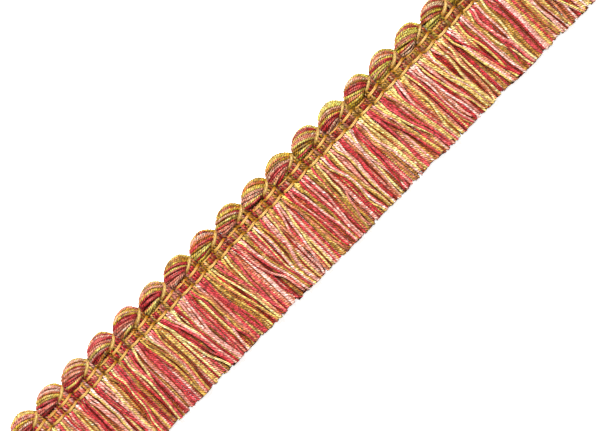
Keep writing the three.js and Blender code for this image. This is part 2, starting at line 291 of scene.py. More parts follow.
# Painted shade: how much of each colour channel the yarn is painted to give back, by how tightly it is held,
# at both ends of the trim; the heading is painted darker and warmer where it holds the yarn
HELD_PAINTED_SHADE = [
    {"held": 0.0, "left": (1.0, 1.0, 1.0), "right": (1.0, 1.0, 1.0)},
    {"held": LOOP_HOLD, "left": (0.64, 0.60, 0.60), "right": (0.56, 0.63, 0.43)},
    {"held": 1.0, "left": (0.81, 0.60, 0.64), "right": (0.35, 0.25, 0.043)},
]
DEEP_TINT = 0.14  # the light that reaches what lies deepest among the yarns of the skirt
SHADE_DEPTH = 1.0  # and how deep that is
SIDE_TINT = 0.22  # the light that reaches the underside of a yarn
SIDE_LEVEL = 0.55  # how far the shade of the underside has come at the yarn's middle, and how fast it fades
SIDE_FADE = 0.7
SHADE_START = 0.5  # how far below the heading the shade begins, and over how much it comes in
SHADE_FADE = 2.5
SHADE_POWERS = np.array([0.66, 1.45, 2.2])  # yarns around it take most from its blue and least from its red
NOTCH_TINT = 0.5  # the light that reaches the notch between two picks
NOTCH_EDGE = 1.1  # from the middle of the notch to where it is lit in full, and over how much it darkens
NOTCH_FADE = 0.9
# Painted light: the skirt is painted brighter where it comes out of the heading
NEAR_HEADING_PAINTED_LIGHT = 0.16  # how much brighter the skirt is where it comes out of the heading
NEAR_HEADING_Y = 8  # at this Y, less and less down to Y 0

# The yarn as a line, before it is a tube
PATH_POINTS = 600
PATH_BLUR = 2.0
UV_LENGTH = 10  # of yarn for one unit of U

# The rows: how their threads run and how much painted shine they have, from 0, WARP_SHADE, painted shade, to
# 1, WARP_GOLD, painted highlight, or more
LINE_POINTS = 2400
LINE_BLUR = 3.0
ACROSS_PICK = np.linspace(-1, 1, 9)  # places on a pick, from side to side
SHINE_RANGE = (0.7, 1)
END_SHINE = 0.3
RISING_SHINE = 0.85  # of the rows on a rising pick, and of each on a falling one
MIDDLE_FALLING_SHINE = 0.6
LOWER_FALLING_SHINE = 1
NOTCH_Z = 1.2  # how low a row dips between two picks
ROW_SCATTER = 0.03
NOTCH_SCATTER = 0.08
ROW_GLEAM = {"left": 0.14, "fade": 0.85}  # the brightest place lies left of the middle of a pick
EDGE_SHINE = 0.8
EDGE_MIDDLE_SHINE = 2.3  # of the middle thread, which stands out
# Its shine comes in from this far left of the pick's middle and loses a part from this far right of it
EDGE_GLEAM = {"left": 0.9, "rise": 0.8, "right": 0.4, "fade": 0.6, "loss": 0.35}
EDGE_REACH = 2.95  # from the middle of the pick to where it goes down
EDGE_CREST = 3.35  # its height on the middle of the pick, and how far it falls to the sides
EDGE_FALL = 1.1
EDGE_SAG = 0.4  # how far it sags there, and how far it wanders from pick to pick
EDGE_WANDER = 0.28
EDGE_FAN = {"middle": 1.8, "less": 0.7}  # how far its threads fan out there, and how much less at the sides
# Its places under a loop, from the middle of the loop, then in the notch after the pick, and at its ends
EDGE_UNDER = [
    {"x": -5.6, "y": 16.2, "z": 0.4},
    {"x": -0.9, "y": 14.6, "z": 0.6},
    {"x": 0.2, "y": 14.7, "z": 1.8},
]
EDGE_NOTCH = {"x": 6.75, "y": 18.1, "z": 1.6, "shine": 0.1}
EDGE_END = {"y": 16.5, "z": 0.4}

# Material
GLINT = (1.0, 0.8, 0.6, 1.0)  # the fibres shine warmly
FIBRE_SHEEN = {
    "Specular IOR Level": 0.3,
    "Specular Tint": GLINT,
    "Sheen Weight": 0.1,
    "Sheen Roughness": 0.45,
    "Sheen Tint": GLINT,
}
FIBRES_AROUND = 9.0
FIBRE_RELIEF = 0.6
FIBRE_GRAIN = {"From Min": 0.3, "From Max": 0.7, "To Min": 0.68, "To Max": 1.3}

# Stage, in metres
FLOOR_REACH = 3.0
FLOOR_GAP = 0.0001
FLOOR_COLOUR = (0.9, 0.9, 0.9, 1)
FLOOR_ROUGHNESS = 0.9
FLOOR_SHINE = 0.1
FLOOR_GLOW = 0.72
SKY_COLOUR = (1, 0.88, 0.72, 1)
SKY_STRENGTH = 0.22
LAMPS = [
    {"name": "key", "place": (0.08, 0.62, 0.95), "size": 0.12, "power": 38},
    {"name": "fill", "place": (0.6, -0.7, 0.9), "size": 1.2, "power": 3.5},
]
SENSOR_WIDTH = 36  # millimetres
CAMERA_HEIGHT = 1.6
VIEW_WIDTH = 0.228
VIEW_MIDDLE = (0.00656, -0.0013)
VIEW_TURN = -45.27

rng = np.random.default_rng(11)
SLOT_PLACES = SLOT_X + LAYER_SCATTER[SLOT_LAYER] * rng.normal(0, 1, (PICK_COUNT, YARNS))
SLOT_PLACES = np.clip(SLOT_PLACES, -SLOT_LIMIT, SLOT_LIMIT)


def linear(rgb):
    """sRGB, from 0 to 1, as linear colour."""
    c = np.asarray(rgb, float)
    return np.where(c <= 0.04045, c / 12.92, ((c + 0.055) / 1.055) ** 2.4)


def smoothstep(t):
    """0 up to t = 0, 1 from t = 1 on, and a smooth rise between."""
    t = np.clip(t, 0, 1)
    return t * t * (3 - 2 * t)


def blur(values, sigma):
    """values smoothed along their first axis, with both ends kept in place."""
    reach = int(3 * sigma) + 1
    offsets = np.arange(-reach, reach + 1)
    kernel = np.exp(-0.5 * (offsets / sigma) ** 2)
    kernel /= kernel.sum()
    start = 2 * values[0] - values[reach:0:-1]
    end = 2 * values[-1] - values[-2 : -reach - 2 : -1]
    padded = np.concatenate([start, values, end])
    return sum(weight * padded[i : i + len(values)] for i, weight in enumerate(kernel))


def resample(points, count):
    """The polyline as count points evenly spaced along it. Columns after the third go with the point."""
    steps = np.linalg.norm(np.diff(points[:, :3], axis=0), axis=1)
    length = np.concatenate([[0], np.cumsum(steps)])
    places = np.linspace(0, length[-1], count)
    columns = range(points.shape[1])
    return np.stack([np.interp(places, length, points[:, i]) for i in columns], axis=1)


def column(table, name):
    return np.array([row[name] for row in table], float)


def either_way(least, most):
    """A size between the two, to the left or to the right."""
    return rng.choice([-1, 1]) * rng.uniform(least, most)


def pick_x(pick):
    return (pick - LOOP_COUNT + 0.5) * PICK_SPACING


def loop_x(loop):
    return (loop - (LOOP_COUNT - 1) / 2) * LOOP_PITCH


def slot_height(slot):
    """The height of a yarn in its picks, which crown a little towards their middle."""
    return LAYER_Z[SLOTS[slot]["layer"]] + PICK_CROWN - CROWN_FALL * SLOT_X[slot] ** 2


# The skirt
def lean_at(x, reach):
    """The table's lean around a place, averaged over reach to each side."""
    near = x + reach * np.linspace(-1, 1, 9)
    return np.interp(near, column(LEAN, "x"), column(LEAN, "lean")).mean()


def make_lock():
    """The yarns of a lock share their lean, their waves and how far short they are cut."""
    lean = rng.normal(0, LOCK_LEAN)
    if rng.random() < ODD_LOCKS:
        lean += either_way(*ODD_LOCK_LEAN)
    waves = []
    for usual in LOCK_WAVES:
        wave = {
            "length": usual["length"] * rng.uniform(*WAVE_STRETCH),
            "size": usual["size"] * rng.normal(0, WAVE_SPREAD),
            "phase": rng.uniform(0, 2 * math.pi),
        }
        waves.append(wave)
    return {"lean": lean, "waves": waves, "short": abs(rng.normal(0, LOCK_SHORT))}


LOCKS = [make_lock() for _ in range(int(2 * END_X / LOCK_WIDTH) + 1)]


def root_of(pick, slot):
    """The X at which a yarn comes out of the heading."""
    return pick_x(pick) + SLOT_PLACES[pick, slot]


def lock_of(pick, slot):
    return LOCKS[int((root_of(pick, slot) + END_X) / LOCK_WIDTH)]


def even_place(pick, slot):
    """Where a yarn would lie if the yarns of its layer shared out the trim's length evenly. One layer lies
    over the gaps of the one below."""
    layer = SLOTS[slot]["layer"]
    same = [other for other in range(YARNS) if SLOTS[other]["layer"] == layer]
    part = (same.index(slot) + 0.25 + 0.5 * (layer % 2)) / len(same)
    return pick_x(pick) + (part - 0.5) * PICK_SPACING


def own_spread(spread, loose):
    """How far one yarn strays from the others, from how loosely it lies."""
    return rng.normal(0, spread["tight"] + spread["more"] * loose)


def yarn_lean(root_x, loose, lock):
    """The lean of a yarn: the skirt's own where it lies tight, the lock's too where it is loose."""
    lean = (1 - loose) * TIGHT_LEAN_SHARE * lean_at(root_x, TIGHT_LEAN_REACH)
    lean += loose * (lean_at(root_x, LOOSE_LEAN_REACH) + lock["lean"])
    lean += own_spread(OWN_LEAN, loose)
    if rng.random() < ODD_YARNS * loose:
        lean += either_way(*ODD_YARN_LEAN)
    return lean


def skirt_across(pick, slot):
    """Where a yarn of the skirt runs, as its X at each of SKIRT_YS. The top layer lies loosest."""
    root_x = root_of(pick, slot)
    loose = LOOSENESS[SLOTS[slot]["layer"]]
    lock = lock_of(pick, slot)
    lean = yarn_lean(root_x, loose, lock)
    drop = SKIRT_Y - SKIRT_YS
    x = root_x + (even_place(pick, slot) - root_x) * smoothstep(drop / SPREAD_DROP)
    x = x + drop * math.tan(math.radians(lean))
    for wave in lock["waves"]:
        bend = np.sin(2 * math.pi * drop / wave["length"] + wave["phase"]) - math.sin(wave["phase"])
        share = loose + own_spread(OWN_WAVE, loose)
        x = x + wave["size"] * share * bend * smoothstep(drop / WAVE_DROP)
    limit = END_X + END_SPREAD - YARN_RADIUS
    return np.clip(x, -limit, limit)


def kept_in_order(places):
    """The nearest places to those given that keep their order, at least GATHERED apart."""
    steps = GATHERED * np.arange(len(places))
    groups = []
    for place in places - steps:
        groups.append([place, 1])
        while len(groups) > 1 and groups[-2][0] > groups[-1][0]:
            later, more = groups.pop()
            earlier, few = groups.pop()
            groups.append([(earlier * few + later * more) / (few + more), few + more])
    return np.concatenate([np.full(count, middle) for middle, count in groups]) + steps


def gather(ways):
    """Yarns of the top layer that meet run on side by side instead of crossing, but for a few strays."""
    top = [entry for entry in ways if SLOTS[entry[1]]["layer"] == TOP_LAYER and rng.random() > STRAYS]
    top.sort(key=lambda entry: ways[entry][0])
    table = np.array([ways[entry] for entry in top])
    for row in range(table.shape[1]):
        table[:, row] = kept_in_order(table[:, row])
    table = blur(table.T, GATHER_BLUR).T
    for entry, way in zip(top, table):
        ways[entry] = way


def settled(z):
    """Heights in the skirt, pressed down so that they never reach PILE_DEPTH."""
    return PILE_DEPTH * np.tanh(z / PILE_DEPTH)


def bridged(under):
    """The heights of a yarn over what lies under it: it sinks slowly past each place that bears it."""
    z = under.copy()
    for shift in range(1, BRIDGE_ROWS + 1):
        z[shift:] = np.maximum(z[shift:], under[:-shift] - BRIDGE_SINK * shift)
        z[:-shift] = np.maximum(z[:-shift], under[shift:] - BRIDGE_SINK * shift)
    return z


def lay_on(pile, x, root_z):
    """Lay a yarn along x on the pile, which grows by it. Returns its heights. At the heading it lies at
    root_z."""
    reach = int(YARN_RADIUS / CELL) + 1
    middle = ((x - PILE_XS[0]) / CELL).round().astype(int)
    middle = np.clip(middle, reach, len(PILE_XS) - reach - 1)
    window = middle[:, None] + np.arange(-reach, reach + 1)[None]
    rows = np.arange(len(SKIRT_YS))[:, None]
    away = (PILE_XS[window] - x[:, None]) / YARN_RADIUS
    inside = np.abs(away) < 1
    profile = TOUCH * YARN_RADIUS * np.sqrt(np.clip(1 - away**2, 0, 1))
    under = np.where(inside, pile[rows, window] + profile, 0).max(axis=1)
    z = blur(np.maximum(bridged(under), LAYER_Z[0]), SAG_BLUR)
    free = smoothstep((SKIRT_Y - SKIRT_YS) / ROOT_DROP)
    z = (1 - free) * root_z + free * z
    top = np.where(inside, z[:, None] + profile, 0)
    pile[rows, window] = np.maximum(pile[rows, window], top)
    return z


def cut_y(pick, slot):
    """Where a yarn is cut off."""
    short = lock_of(pick, slot)["short"] + abs(rng.normal(0, YARN_SHORT))
    if SLOTS[slot]["layer"] == TOP_LAYER and rng.random() < SHORT_YARNS:
        short += rng.uniform(*SHORT_CUT)
    return TIP_Y - LONGEST + short


def cut_off(path, y):
    """The part of a path above y, with its end at y."""
    x_end, z_end = (np.interp(-y, -path[:, 1], path[:, i]) for i in (0, 2))
    return np.concatenate([path[path[:, 1] > y], [[x_end, y, z_end]]])


def lay_skirt():
    """The cut yarns of every pick, laid one after another so that each rests on those under it.

    Returns a path for each pick and slot, from the heading to its cut end, and the surface of the skirt:
    how high the yarns around each place reach, by rows of SKIRT_YS and columns of PILE_XS."""
    order = [(pick, slot) for pick in range(PICK_COUNT) for slot in range(YARNS)]
    level = {entry: slot_height(entry[1]) + rng.normal(0, LEVEL_SCATTER) for entry in order}
    ways = {entry: skirt_across(*entry) for entry in order}
    gather(ways)
    order.sort(key=level.get)
    pile = np.zeros((len(SKIRT_YS), len(PILE_XS)))
    paths = {}
    for entry in order:
        z = lay_on(pile, ways[entry], slot_height(entry[1]))
        path = np.stack([ways[entry], SKIRT_YS, settled(z)], axis=1)
        paths[entry] = cut_off(path, cut_y(*entry))
    near = int(NEAR / CELL)
    surface = np.max([np.roll(pile, shift, axis=1) for shift in range(-near, near + 1)], axis=0)
    surface = blur(blur(surface.T, SURFACE_BLUR_X).T, SURFACE_BLUR_Y)
    return paths, settled(surface)


# The heading
OUTLINE_X = column(LOOP_OUTLINE, "x") - LOOP_HEART[0]
OUTLINE_Y = column(LOOP_OUTLINE, "y") - LOOP_HEART[1]
OUTLINE_ANGLE = np.unwrap(np.arctan2(OUTLINE_Y, OUTLINE_X))
OUTLINE_REACH = np.hypot(OUTLINE_X, OUTLINE_Y)


def curve_at(curve, u):
    return curve["level"] + curve["slope"] * u + curve["curve"] * u * u


def row_rise(pick, u):
    """How far a row lies above its usual Y at a place on a pick, u from -1 to 1. On a rising pick it slopes
    up to the right."""
    return curve_at(RISING_ROW if pick % 2 else FALLING_ROW, u)


def edge_row_y(x):
    """The edge row's Y on a rising pick, x from the middle of the loop."""
    return curve_at(EDGE_ROW, x - EDGE_ROW["x"])


def outline_reach(direction, shape):
    """How far the middle of a yarn may lie from the loop's heart in a direction, in radians."""
    reach = np.interp(direction % (2 * math.pi), OUTLINE_ANGLE, OUTLINE_REACH, period=2 * math.pi)
    return reach * shape["size"] - BOUND_RADIUS


def pick_points(pick, slot, z, upper_y):
    """A yarn's places in the bound part of a pick, from the skirt up. The rows squeeze the bundle, and it
    swells between them. The last column is how tightly it is held."""
    across = SLOT_PLACES[pick, slot]
    rise = row_rise(pick, across / PICK_REACH)
    lower_y = LOWER_ROW_Y + rise
    middle_y = MIDDLE_ROW_Y + rise
    forms = [
        (lower_y, SQUEEZED),
        (lower_y * 0.7 + middle_y * 0.3, SWOLLEN),
        (lower_y * 0.35 + middle_y * 0.65, SWOLLEN),
        (middle_y, SQUEEZED),
        ((middle_y + upper_y) / 2, SWOLLEN),
        (upper_y, SQUEEZED_TOP),
    ]
    centre = (pick % 2 - 0.5) * PICK_SPACING
    return [[centre + across * form["wide"], y, z * form["deep"], 1.0] for y, form in forms]


def loop_point(place, heart, shape, depth, sunk, slack):
    """The point over a place of the loop's outline, on its face or, with a negative depth, on its back. It
    lies at most slack past the outline."""
    away = place - heart
    distance = np.linalg.norm(away)
    reach = outline_reach(math.atan2(away[1], away[0]), shape)
    place = heart + away * min(1, (reach + slack) / distance)
    swell = math.sqrt(1 - min(distance / reach, 1) ** 2)
    z = LOOP_MIDDLE_Z + swell * (depth - math.copysign(BOUND_RADIUS, depth) - sunk)
    return [place[0], place[1], z, LOOP_HOLD]


def loop_run(start, end, slot, shape):
    """A yarn's way over the loop's face from start, round its outline and behind it to the falling pick."""
    heart = LOOP_HEART + shape["shift"]
    turn = slot / (YARNS - 1)
    sunk = LOOP_SUNK[SLOTS[slot]["layer"]]
    turns = column(RUNS, "turn")
    fold_turn = np.interp(turn, turns, column(RUNS, "fold")) + rng.normal(shape["twist"], FOLD_SCATTER)
    bow = np.interp(turn, turns, column(RUNS, "bow")) + rng.normal(shape["bow"], BOW_SCATTER)
    direction = math.radians(fold_turn)
    fold = heart + outline_reach(direction, shape) * np.array([math.cos(direction), math.sin(direction)])
    chord = fold - start
    upwards = np.array([chord[1], -chord[0]]) / np.linalg.norm(chord)
    points = []
    for s in np.linspace(0, 1, FACE_POINTS):
        place = start + s * chord + 4 * bow * s * (1 - s) * upwards
        points.append(loop_point(place, heart, shape, LOOP_FACE, sunk, START_SLACK * (1 - s) ** 3))
    way_back = end - fold
    outwards = np.array([-way_back[1], way_back[0]]) / np.linalg.norm(way_back)
    for s in np.linspace(0, 1, BACK_POINTS)[1:]:
        place = fold + s * way_back + 4 * BACK_BOW * turn * s * (1 - s) * outwards
        points.append(loop_point(place, heart, shape, -LOOP_BACK, -sunk, START_SLACK * s**3))
    return points


def heading_path(loop, slot, shape):
    """A yarn's way through the heading: up the rising pick, over the loop's face, round behind it and down
    the falling pick."""
    rising = 2 * loop + 1
    falling = 2 * loop
    height = slot_height(slot)
    across = PICK_SPACING / 2 + SLOT_PLACES[rising, slot] * DRAWN_IN
    edge_y = edge_row_y(across)
    start_x = across - LOOP_START["left"] - LOOP_START["fan"] * slot / YARNS
    start = np.array([start_x, edge_y + LOOP_START["up"]])
    end = np.array([-PICK_SPACING / 2 + SLOT_PLACES[falling, slot], LOOP_END_Y])
    points = pick_points(rising, slot, height, edge_y)
    points += loop_run(start, end, slot, shape)
    points += pick_points(falling, slot, height, FALLING_TOP_Y)[-2::-1]
    path = np.array(points)
    path[:, 0] += loop_x(loop)
    return path


def loop_shape():
    """How one loop differs from the usual one."""
    to_side = rng.normal(0, LOOP_SCATTER["side"])
    return {
        "shift": np.array([to_side, LOOP_RISE - abs(rng.normal(0, LOOP_SCATTER["down"]))]),
        "size": 1 - abs(rng.normal(0, LOOP_SCATTER["size"])),
        "twist": rng.normal(0, LOOP_SCATTER["twist"]),
        "bow": rng.normal(0, LOOP_SCATTER["bow"]),
    }


def free_end(path):
    """The path with a column for how tightly it is held, which is not at all."""
    return np.concatenate([path, np.zeros((len(path), 1))], axis=1)


def bundle_paths(loop, skirt):
    """Every yarn of one bundle, from cut end to cut end, as an array of yarns, rings and places, with how
    tightly it is held as a fourth column."""
    shape = loop_shape()
    paths = []
    for slot in range(YARNS):
        heading = heading_path(loop, slot, shape)
        rising = skirt[2 * loop + 1, slot][::-1]
        falling = skirt[2 * loop, slot]
        line = resample(np.concatenate([free_end(rising), heading, free_end(falling)]), PATH_POINTS)
        line = blur(line, PATH_BLUR)
        line[:, 2] = np.maximum(line[:, 2], LAYER_Z[0])
        paths.append(resample(line, YARN_RINGS))
    return np.array(paths)


# Meshes
def tube_axes(paths):
    """Two directions across each path at each of its rings, carried along it without a turn."""
    tangents = np.gradient(paths, axis=1)
    tangents /= np.linalg.norm(tangents, axis=2, keepdims=True)
    normal = np.zeros((len(paths), 3))
    normal[:, 2] = 1
    normals = np.zeros_like(paths)
    for ring in range(paths.shape[1]):
        tangent = tangents[:, ring]
        normal = normal - (normal * tangent).sum(axis=1, keepdims=True) * tangent
        normal /= np.linalg.norm(normal, axis=1, keepdims=True)
        normals[:, ring] = normal
    return normals, np.cross(tangents, normals)


def twisted_tubes(paths, radii, ply_length, plies):
    """Tubes along paths (tubes, rings, 3) with a section of plies that turns as it goes.

    Returns the vertices (tubes, rings, sides, 3) and how far along its path each ring lies."""
    normals, binormals = tube_axes(paths)
    count = len(paths)
    steps = np.linalg.norm(np.diff(paths, axis=1), axis=2)
    along = np.concatenate([np.zeros((count, 1)), np.cumsum(steps, axis=1)], axis=1)
    side = np.arange(2 * plies)
    turn = 2 * math.pi * along / ply_length + rng.uniform(0, 2 * math.pi, (count, 1))
    angles = -turn[:, :, None] + 2 * math.pi * side / len(side)
    reach = radii[:, :, None] * (1 + PLY_RELIEF * np.where(side % 2, -1, 1))
    across = (reach * np.cos(angles))[..., None] * normals[:, :, None]
    upward = (reach * np.sin(angles))[..., None] * binormals[:, :, None]
    return paths[:, :, None] + across + upward, along


def tube_faces(index):
    """The vertices of all faces, one face after another, and how many each face has: quads along the tubes,
    then the caps of their two ends."""
    count, _, sides = index.shape
    here = index[:, :-1]
    there = index[:, 1:]
    quads = np.stack([here, np.roll(here, -1, 2), np.roll(there, -1, 2), there], axis=-1).reshape(-1, 4)
    starts = index[:, 0, ::-1]
    ends = index[:, -1]
    corners = np.concatenate([quads.ravel(), starts.ravel(), ends.ravel()])
    sizes = np.concatenate([np.full(len(quads), 4), np.full(2 * count, sides)])
    return corners.astype(np.int32), sizes.astype(np.int32)


def tube_uvs(along, sides):
    """The UV of each corner of those faces: U runs along a tube and V around it."""
    count, rings = along.shape
    shape = (count, rings - 1, sides)
    u = np.broadcast_to(along[:, :-1, None] / UV_LENGTH, shape)
    u_next = np.broadcast_to(along[:, 1:, None] / UV_LENGTH, shape)
    v = np.broadcast_to(np.arange(sides) / sides, shape)
    v_next = v + 1 / sides
    quads = np.stack([u, v, u, v_next, u_next, v_next, u_next, v], axis=-1).reshape(-1)
    caps = np.zeros(2 * count * sides * 2)
    return np.concatenate([quads, caps]).astype(np.float32)


def tube_mesh(name, vertices, along, tints, material):
    """One piece of closed tubes. tint is each vertex's linear colour, with painted light and shade in it.
    ridge is 1 on the plies and 0 in the grooves between them, where the material paints shade."""
    count, rings, sides, _ = vertices.shape
    index = np.arange(count * rings * sides).reshape(count, rings, sides)
    corners, sizes = tube_faces(index)
    mesh = bpy.data.meshes.new(name)
    mesh.vertices.add(index.size)
    mesh.vertices.foreach_set("co", (vertices * METRES).astype(np.float32).ravel())
    mesh.loops.add(len(corners))
    mesh.loops.foreach_set("vertex_index", corners)
    mesh.polygons.add(len(sizes))
    mesh.polygons.foreach_set("loop_start", (np.cumsum(sizes) - sizes).astype(np.int32))
    mesh.polygons.foreach_set("loop_total", sizes)
    mesh.update(calc_edges=True)
    mesh.validate()
    mesh.polygons.foreach_set("use_smooth", np.ones(len(sizes), bool))

    tint = mesh.attributes.new("tint", "FLOAT_COLOR", "POINT")
    rgba = np.ones((index.size, 4), np.float32)
    rgba[:, :3] = tints.reshape(-1, 3)
    tint.data.foreach_set("color", rgba.ravel())
    ridge = mesh.attributes.new("ridge", "FLOAT", "POINT")
    ridge.data.foreach_set("value", np.tile(1.0 - np.arange(sides) % 2, count * rings).astype(np.float32))
    uv = mesh.uv_layers.new(name="UVMap")
    uv.data.foreach_set("uv", tube_uvs(along, sides))
    mesh.materials.append(material)
    piece = bpy.data.objects.new(name, mesh)
    bpy.context.scene.collection.objects.link(piece)
    return piece


# Colour
def choose_colours(place):
    """A colour name for each yarn of a bundle. place runs from 0 at the left end to 1 at the right end."""
    weights = np.array([(1 - place) * c["left"] + place * c["right"] for c in COLOURS.values()])
    weights /= weights.sum()
    shares = weights * YARNS
    left_over = [name for name, share in zip(COLOURS, shares) for _ in range(int(share + rng.random()))]
    while len(left_over) < YARNS:
        left_over.append(list(COLOURS)[rng.choice(len(COLOURS), p=weights)])
    rng.shuffle(left_over)
    names = []
    while len(names) < YARNS:
        alike = names and names[-1] in left_over and rng.random() < SAME_AGAIN
        names.append(left_over.pop(left_over.index(names[-1]) if alike else 0))
    names[-1] = OUTER_NAMES[rng.integers(len(OUTER_NAMES))]
    return names


def colour_at(name, bound):
    """A yarn's linear colour at each of its rings, from free, 0, to bound, 1, where it holds painted shade.
    """
    colour = COLOURS[name]
    return (1 - bound) * linear(colour["free"]) + bound * linear(colour["bound"])


def bound_share(held):
    """From 0, where a yarn hangs free, to 1, where the heading binds it."""
    return smoothstep(2 * held)


def yarn_tints(names, held):
    """Linear colours for every vertex of a bundle's yarns: each has plies of its own colour, some of them
    marled, with a painted highlight on the plies' crowns, painted shade in their grooves, and the bound
    colour's painted shade where the heading holds them."""
    bound = bound_share(held[..., None])
    tints = np.zeros((*held.shape, 2 * YARN_PLIES, 3))
    rings = held.shape[1]
    for i, name in enumerate(names):
        # The colour where the heading binds the yarn holds painted shade
        base = colour_at(name, bound[i])
        other = colour_at(MARLS[name], bound[i])
        for ply in range(YARN_PLIES):
            mix = MARL if rng.random() < MARLED_PLIES else rng.uniform(*FAINT_MARL)
            colour = base * (1 - mix) + other * mix
            # Each ply is painted lighter on its crown and darker in its groove: painted highlight and
            # painted shade
            tints[i, :, 2 * ply] = colour * rng.uniform(*CROWN_TONE_AND_LIGHT)
            tints[i, :, 2 * ply + 1] = colour * rng.uniform(*GROOVE_TONE_AND_SHADE)
        patches = 1 + PATCHES * blur(rng.normal(0, 1, (rings, 1)), PATCH_BLUR)
        beads = rng.normal(0, BEADS, (rings, 1))
        speckle = np.exp(rng.normal(0, SPECKLE, (rings, 2 * YARN_PLIES)) + beads)
        tints[i] *= (patches * speckle)[:, :, None] * rng.uniform(*YARN_GAIN)
    return np.clip(tints, DARKEST, BRIGHTEST)


def painted_light_and_shade(paths, held, place):
    """Painted light and shade for each colour channel of the rings of a bundle's yarns: painted shade where
    the heading holds them and in the notch between two picks, painted light where the skirt comes out of the
    heading. place runs from 0 at the left end of the trim to 1 at the right end."""
    left = np.array([row["left"] for row in HELD_PAINTED_SHADE])
    right = np.array([row["right"] for row in HELD_PAINTED_SHADE])
    # Painted shade of the heading, by how tightly each ring is held
    table = left + place * (right - left)
    share = np.stack([np.interp(held, column(HELD_PAINTED_SHADE, "held"), table[:, c]) for c in range(3)], axis=-1)
    # Painted light: brighter where the skirt comes out of the heading, fading down to Y 0
    near_heading = (1 - bound_share(held)) * smoothstep(paths[:, :, 1] / NEAR_HEADING_Y)
    # Painted shade in the notch between two picks
    from_notch = np.abs((paths[:, :, 0] / PICK_SPACING + 0.5) % 1 - 0.5) * PICK_SPACING
    notch = smoothstep(2 * held - 1) * smoothstep((NOTCH_EDGE - from_notch) / NOTCH_FADE)
    return share * ((1 + NEAR_HEADING_PAINTED_LIGHT * near_heading) * (1 - (1 - NOTCH_TINT) * notch))[..., None]


def surface_at(surface, x, y):
    """The height of the skirt's surface around places on it."""
    column_place = np.clip((x - PILE_XS[0]) / CELL, 0, len(PILE_XS) - 2)
    row_place = np.clip((SKIRT_Y - y) / ROW_STEP, 0, len(SKIRT_YS) - 2)
    left = column_place.astype(int)
    upper = row_place.astype(int)
    right_share = column_place - left
    lower_share = row_place - upper
    above = (1 - right_share) * surface[upper, left] + right_share * surface[upper, left + 1]
    below = (1 - right_share) * surface[upper + 1, left] + right_share * surface[upper + 1, left + 1]
    return (1 - lower_share) * above + lower_share * below


def shaded(vertices, paths, radii, surface):
    """How much light reaches each vertex of the skirt's yarns, from how deep it lies among those around it
    and on which side of its own yarn."""
    x, y, z = np.moveaxis(vertices, -1, 0)
    depth = smoothstep((surface_at(surface, x, y) - z) / SHADE_DEPTH)
    side = smoothstep(SIDE_LEVEL - SIDE_FADE * (z - paths[:, :, 2:]) / radii[:, :, None])
    light = (1 - (1 - DEEP_TINT) * depth) * (1 - (1 - SIDE_TINT) * side)
    free = smoothstep((SKIRT_Y - SHADE_START - y) / SHADE_FADE)
    return (1 - free * (1 - light))[..., None] ** SHADE_POWERS


# Materials
def add_node(tree, kind, inputs=None):
    node = tree.nodes.new(kind)
    for socket, value in (inputs or {}).items():
        node.inputs[socket].default_value = value
    return node


def mesh_value(tree, name):
    """The node that reads an attribute of the mesh."""
    node = tree.nodes.new("ShaderNodeAttribute")
    node.attribute_name = name
    return node


def yarn_material(name, roughness, fibre_scale, fibre_depth, groove_shade):
    """Twisted fibre: colour from the mesh, darker in the grooves of the twist by painted shade, with fine
    fibres along it.
    """
    material = bpy.data.materials.new(name)
    material.use_nodes = True
    tree = material.node_tree
    link = tree.links.new
    shader = tree.nodes["Principled BSDF"]
    shader.inputs["Roughness"].default_value = roughness
    for socket, value in FIBRE_SHEEN.items():
        shader.inputs[socket].default_value = value

    uv = tree.nodes.new("ShaderNodeUVMap")
    uv.uv_map = "UVMap"
    stretch = add_node(tree, "ShaderNodeMapping", {"Scale": (fibre_scale, FIBRES_AROUND, 1.0)})
    fibres = add_node(tree, "ShaderNodeTexNoise", {"Scale": 1.0, "Detail": 3.0})
    link(uv.outputs["UV"], stretch.inputs["Vector"])
    link(stretch.outputs["Vector"], fibres.inputs["Vector"])

    # Painted shade: the colour falls to the given groove level where ridge is 0, in the grooves
    shade = add_node(tree, "ShaderNodeMapRange", {"To Min": groove_shade, "To Max": 1.0})
    grain = add_node(tree, "ShaderNodeMapRange", FIBRE_GRAIN)
    both = tree.nodes.new("ShaderNodeMath")
    both.operation = "MULTIPLY"
    scale = tree.nodes.new("ShaderNodeVectorMath")
    scale.operation = "SCALE"
    link(mesh_value(tree, "ridge").outputs["Fac"], shade.inputs["Value"])
    link(fibres.outputs["Fac"], grain.inputs["Value"])
    link(shade.outputs["Result"], both.inputs[0])
    link(grain.outputs["Result"], both.inputs[1])
    link(mesh_value(tree, "tint").outputs["Color"], scale.inputs["Vector"])
    link(both.outputs["Value"], scale.inputs["Scale"])
    link(scale.outputs["Vector"], shader.inputs["Base Color"])

    bump = add_node(tree, "ShaderNodeBump", {"Strength": FIBRE_RELIEF, "Distance": fibre_depth * METRES})
    link(fibres.outputs["Fac"], bump.inputs["Height"])
    link(bump.outputs["Normal"], shader.inputs["Normal"])
    return material


yarn_look = yarn_material("weft_yarn_look", roughness=0.34, fibre_scale=14, fibre_depth=0.12, groove_shade=0.1)
thread_look = yarn_material("warp_thread_look", roughness=0.36, fibre_scale=30, fibre_depth=0.06, groove_shade=0.5)


# Weft
def yarn_radii(held):
    """The radius of each yarn at each of its rings."""
    radii = YARN_RADIUS + (BOUND_RADIUS - YARN_RADIUS) * bound_share(held)
    radii *= rng.uniform(*RADIUS_RANGE, (YARNS, 1))
    radii *= 1 + RADIUS_WANDER * blur(rng.normal(0, 1, (YARN_RINGS, YARNS)), RADIUS_BLUR).T
    radii *= LAYER_FULLNESS[SLOT_LAYER][:, None]
    radii[:, :2] *= CUT_FLARE
    radii[:, -2:] *= CUT_FLARE
    return radii


